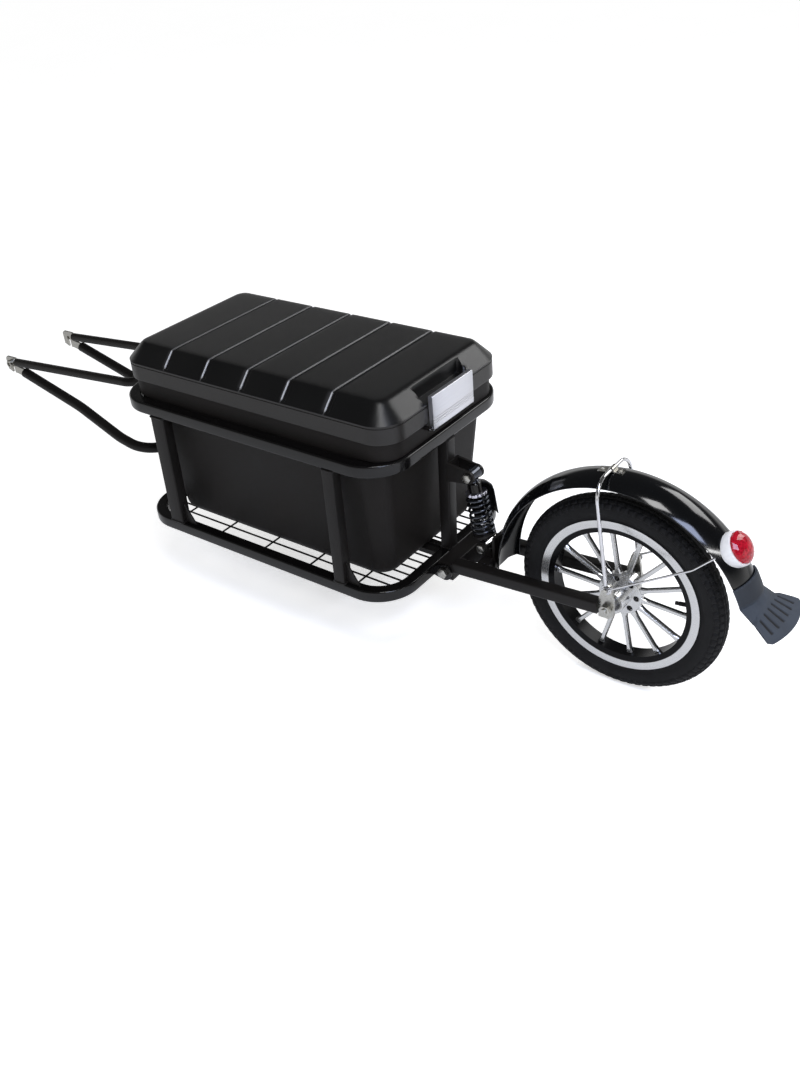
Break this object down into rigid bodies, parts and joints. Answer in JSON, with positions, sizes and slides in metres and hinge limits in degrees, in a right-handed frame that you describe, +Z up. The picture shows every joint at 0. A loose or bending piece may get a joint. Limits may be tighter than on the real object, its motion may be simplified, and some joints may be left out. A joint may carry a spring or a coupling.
{
  "type": "folding bicycle trailer",
  "caption": "Bicycle cargo trailer: steel tube basket holding a lidded plastic box, a yoke that hooks on the bicycle's axle, and one sprung wheel under a mudguard.",
  "frame": {"origin": "middle of the bicycle's rear axle line, between the two hitch plates", "axes": "+X to the trailer's rear, -Y to the side nearest the camera in the picture, +Z up; level ground is at z = -0.364 m"},
  "size_m": [1.9412, 0.43, 0.5572],
  "materials": {
    "frame_paint": "satin black powder coat",
    "arm_paint": "satin black powder coat",
    "yoke_paint": "satin black powder coat",
    "zinc_hardware": "zinc plated",
    "plated_plate": "zinc plated plate",
    "bush_bronze": "sintered bronze",
    "box_plastic": "moulded, fine grain",
    "lid_plastic": "moulded, fine grain",
    "latch_metal": "brushed",
    "wheel_alloy": "cast and machined",
    "bearing_steel": "ground",
    "shaft_chrome": "chrome plated",
    "spring_paint": "gloss black",
    "tyre_rubber": "matt",
    "fender_gloss": "gloss black",
    "housing_plastic": "gloss white",
    "lens_red": "clear red, faceted",
    "flap_rubber": "soft matt slate"
  },
  "bodies": {
    "frame": {"top_loop": "frame_paint", "bottom_loop": "frame_paint", "upright_near_front": "frame_paint", "upright_near_rear": "frame_paint", "upright_far_front": "frame_paint", "upright_far_rear": "frame_paint", "rear_post": "frame_paint", "front_post": "frame_paint", "floor_beam": "frame_paint", "floor_mesh": "frame_paint", "king_pin": "zinc_hardware", "pivot_bolt": "zinc_hardware", "pivot_nut": "zinc_hardware", "shock_upper_bracket": "frame_paint", "shock_upper_bolt": "zinc_hardware"},
    "box": {"storage_box": "box_plastic"},
    "lid": {"box_lid": "lid_plastic"},
    "latch_front": {"latch_front": "latch_metal"},
    "latch_rear": {"latch_rear": "latch_metal"},
    "yoke": {"steerer_tube": "yoke_paint", "steerer_bush": "bush_bronze", "yoke_upper_tube": "yoke_paint", "yoke_lower_tube": "yoke_paint", "hitch_plate_near": "plated_plate", "hitch_plate_far": "plated_plate", "hitch_nut_near": "zinc_hardware", "hitch_nut_far": "zinc_hardware"},
    "arm": {"pivot_tube": "arm_paint", "pivot_bush": "bush_bronze", "arm_near": "arm_paint", "arm_far": "arm_paint", "arm_bridge": "arm_paint", "dropout_near": "plated_plate", "dropout_far": "plated_plate", "shock_lower_bolt": "zinc_hardware", "shock_lower_nut": "zinc_hardware", "axle": "zinc_hardware", "axle_nut_near": "zinc_hardware", "axle_nut_far": "zinc_hardware", "fender": "fender_gloss", "fender_front_stay": "shaft_chrome", "fender_rear_stay_near": "shaft_chrome", "fender_rear_stay_far": "shaft_chrome", "stay_bolt_near": "zinc_hardware", "stay_bolt_far": "zinc_hardware", "stay_clamp": "zinc_hardware", "tail_light_housing": "housing_plastic", "tail_light_lens": "lens_red", "mud_flap": "flap_rubber"},
    "shock_body": {"shock_body": "arm_paint", "shock_guard": "box_plastic", "preload_collar": "wheel_alloy", "shock_spring": "spring_paint"},
    "shock_shaft": {"shock_shaft": "shaft_chrome", "spring_seat": "arm_paint"},
    "wheel": {"tyre": "tyre_rubber", "alloy_wheel": "wheel_alloy", "valve_stem": "tyre_rubber", "wheel_bearing_near": "bearing_steel", "wheel_bearing_far": "bearing_steel"}
  },
  "joints": [
    {"name": "box_lift", "type": "slide", "parent": "frame", "child": "box", "axis": [0, 0, 1], "range_m": [0, 0.3]},
    {"name": "lid_lift", "type": "slide", "parent": "box", "child": "lid", "axis": [0, 0, 1], "range_m": [0, 0.25]},
    {"name": "latch_front_turn", "type": "hinge", "parent": "box", "child": "latch_front", "pos_m": [0.558, 0, 0.1128], "axis": [0, -1, 0], "range_deg": [0, 110]},
    {"name": "latch_rear_turn", "type": "hinge", "parent": "box", "child": "latch_rear", "pos_m": [1.261, 0, 0.1128], "axis": [0, 1, 0], "range_deg": [0, 110]},
    {"name": "yoke_turn", "type": "hinge", "parent": "frame", "child": "yoke", "pos_m": [0.494, 0, 0], "axis": [0, 0, 1], "range_deg": [-60, 60]},
    {"name": "arm_swing", "type": "hinge", "parent": "frame", "child": "arm", "pos_m": [1.27, 0, -0.196], "axis": [0, -1, 0], "range_deg": [-2, 7], "stiffness_Nm_per_rad": 300, "springref_deg": -2},
    {"name": "shock_turn", "type": "hinge", "parent": "frame", "child": "shock_body", "pos_m": [1.3, 0, -0.004], "axis": [0, -1, 0], "range_deg": [-1.9, 0.6]},
    {"name": "shock_stroke", "type": "slide", "parent": "shock_body", "child": "shock_shaft", "axis": [-0.158, 0, 0.9874], "range_m": [-0.0022, 0.0072], "deforming": ["shock_spring"]},
    {"name": "wheel_spin", "type": "hinge", "parent": "arm", "child": "wheel", "pos_m": [1.612, 0, -0.164], "axis": [0, 1, 0], "continuous": true}
  ],
  "couplings": [
    {"joint": "shock_turn", "follows": "arm_swing", "ratio": -0.241},
    {"joint": "shock_stroke", "follows": "arm_swing", "m_per_rad": 0.0578}
  ]
}
